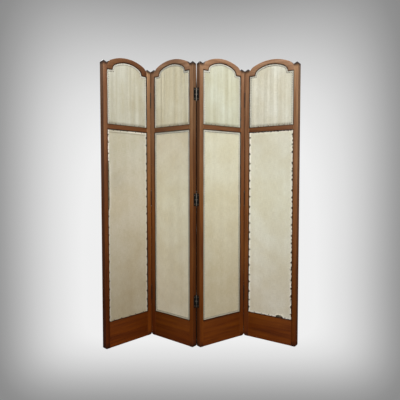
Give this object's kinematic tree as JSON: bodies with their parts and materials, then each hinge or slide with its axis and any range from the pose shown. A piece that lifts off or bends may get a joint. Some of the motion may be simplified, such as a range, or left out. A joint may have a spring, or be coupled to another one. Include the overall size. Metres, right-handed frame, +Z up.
{
  "type": "folding screen",
  "caption": "Wooden folding screen of hinged panels with arched, shouldered top rails, pointed stile caps, pleated silk above, stretched cloth below and dark butt hinges.",
  "frame": {"origin": "floor level, under the middle of the ground that the standing screen covers", "axes": "+Z up, +X along the screen from its first panel to its fourth, +Y from its front to its back"},
  "size_m": [1.2058, 0.285, 1.785],
  "materials": {
    "stained_wood": "stained and waxed, satin",
    "cream_silk": "pleated cream silk",
    "cream_cloth": "plain woven, stretched",
    "lining_cotton": "plain woven cotton, pasted flat",
    "hinge_iron": "blackened",
    "screw_steel": "worn",
    "tack_iron": "blued"
  },
  "bodies": {
    "panel_1": {"panel_1_left_stile": "stained_wood", "panel_1_right_stile": "stained_wood", "panel_1_top_rail": "stained_wood", "panel_1_mid_rail": "stained_wood", "panel_1_bottom_rail": "stained_wood", "panel_1_upper_cloth": "cream_silk", "panel_1_lower_cloth": "cream_cloth", "panel_1_back_lining": "lining_cotton", "panel_1_tacks": "tack_iron", "panel_1_hinge_screws": "screw_steel", "left_fold_high_hinge_left_leaf": "hinge_iron", "left_fold_mid_hinge_left_leaf": "hinge_iron", "left_fold_low_hinge_left_leaf": "hinge_iron"},
    "panel_2": {"panel_2_left_stile": "stained_wood", "panel_2_right_stile": "stained_wood", "panel_2_top_rail": "stained_wood", "panel_2_mid_rail": "stained_wood", "panel_2_bottom_rail": "stained_wood", "panel_2_upper_cloth": "cream_silk", "panel_2_lower_cloth": "cream_cloth", "panel_2_back_lining": "lining_cotton", "panel_2_tacks": "tack_iron", "panel_2_hinge_screws": "screw_steel", "left_fold_high_hinge_right_leaf": "hinge_iron", "left_fold_mid_hinge_right_leaf": "hinge_iron", "left_fold_low_hinge_right_leaf": "hinge_iron", "centre_fold_high_hinge_left_leaf": "hinge_iron", "centre_fold_mid_hinge_left_leaf": "hinge_iron", "centre_fold_low_hinge_left_leaf": "hinge_iron", "panel_2_hinge_pins": "hinge_iron"},
    "panel_3": {"panel_3_left_stile": "stained_wood", "panel_3_right_stile": "stained_wood", "panel_3_top_rail": "stained_wood", "panel_3_mid_rail": "stained_wood", "panel_3_bottom_rail": "stained_wood", "panel_3_upper_cloth": "cream_silk", "panel_3_lower_cloth": "cream_cloth", "panel_3_back_lining": "lining_cotton", "panel_3_tacks": "tack_iron", "panel_3_hinge_screws": "screw_steel", "centre_fold_high_hinge_right_leaf": "hinge_iron", "centre_fold_mid_hinge_right_leaf": "hinge_iron", "centre_fold_low_hinge_right_leaf": "hinge_iron", "right_fold_high_hinge_left_leaf": "hinge_iron", "right_fold_mid_hinge_left_leaf": "hinge_iron", "right_fold_low_hinge_left_leaf": "hinge_iron", "panel_3_hinge_pins": "hinge_iron"},
    "panel_4": {"panel_4_left_stile": "stained_wood", "panel_4_right_stile": "stained_wood", "panel_4_top_rail": "stained_wood", "panel_4_mid_rail": "stained_wood", "panel_4_bottom_rail": "stained_wood", "panel_4_upper_cloth": "cream_silk", "panel_4_lower_cloth": "cream_cloth", "panel_4_back_lining": "lining_cotton", "panel_4_tacks": "tack_iron", "panel_4_hinge_screws": "screw_steel", "right_fold_high_hinge_right_leaf": "hinge_iron", "right_fold_mid_hinge_right_leaf": "hinge_iron", "right_fold_low_hinge_right_leaf": "hinge_iron"}
  },
  "joints": [
    {"name": "left_fold", "type": "hinge", "parent": "panel_2", "child": "panel_1", "pos_m": [-0.32779, 0.12201, 0], "axis": [0, 0, 1], "range_deg": [-86, 94]},
    {"name": "centre_fold", "type": "hinge", "parent": "panel_2", "child": "panel_3", "pos_m": [-0.0281, -0.09382, 0], "axis": [0, 0, 1], "range_deg": [-76, 104]},
    {"name": "right_fold", "type": "hinge", "parent": "panel_3", "child": "panel_4", "pos_m": [0.2859, 0.10058, 0], "axis": [0, 0, 1], "range_deg": [-109, 71]}
  ]
}
